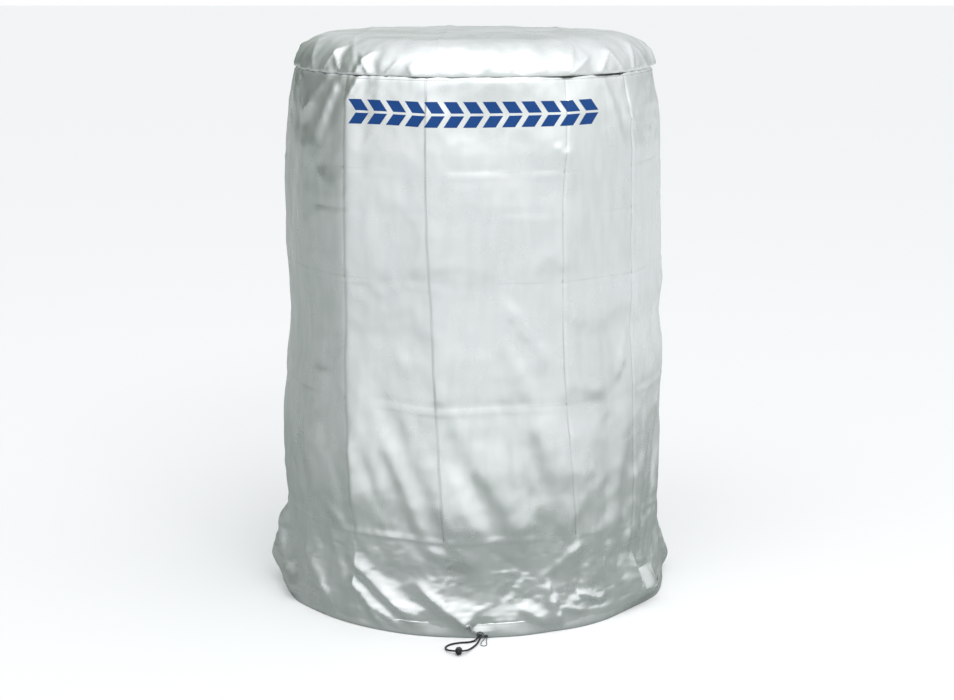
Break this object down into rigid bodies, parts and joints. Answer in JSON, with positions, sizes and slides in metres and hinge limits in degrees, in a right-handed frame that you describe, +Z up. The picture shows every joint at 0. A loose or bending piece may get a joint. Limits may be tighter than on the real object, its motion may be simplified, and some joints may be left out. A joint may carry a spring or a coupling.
{
  "type": "stacked tyre cover",
  "caption": "Silver cloth cover for a stack of tyres, with a round top, straight side tube, drawcord hem and sprung cord lock.",
  "frame": {"origin": "on the floor, at the middle of the hem's circle, below the centre of the round top", "axes": "+Z up along the cover's axis; -Y is the front, where the drawcord comes out of the hem"},
  "size_m": [0.6989, 0.7807, 0.98],
  "materials": {
    "silver_cloth": "satin",
    "grey_tape": "matte",
    "grey_thread": "matte",
    "black_thread": "matte",
    "blue_print": "satin",
    "eyelet_metal": "satin",
    "black_cord": "matte",
    "grey_cord": "matte",
    "black_plastic": "satin",
    "spring_steel": "polished"
  },
  "bodies": {
    "cover": {"top_panel": "silver_cloth", "side_panel": "silver_cloth", "top_seam_binding": "grey_tape", "top_seam_stitching": "grey_thread", "back_seam_tape": "silver_cloth", "back_seam_stitching": "grey_thread", "front_print": "blue_print", "hem_casing": "silver_cloth", "hem_stitching": "grey_thread", "eyelet_patch": "grey_tape", "eyelet": "eyelet_metal", "eyelet_washer": "eyelet_metal", "hem_drawcord": "black_cord", "drawcord_loop": "black_cord", "cord_lock_barrel": "black_plastic", "cord_lock_spring": "spring_steel", "pull_loop": "grey_cord", "pull_loop_bartack": "black_thread"},
    "lock_plunger": {"cord_lock_plunger": "black_plastic"}
  },
  "joints": [
    {"name": "cord_lock_press", "type": "slide", "parent": "cover", "child": "lock_plunger", "axis": [0, 1, 0], "range_m": [0, 0.0024], "stiffness_N_per_m": 800, "springref_m": -0.002, "deforming": ["cord_lock_spring"]}
  ]
}
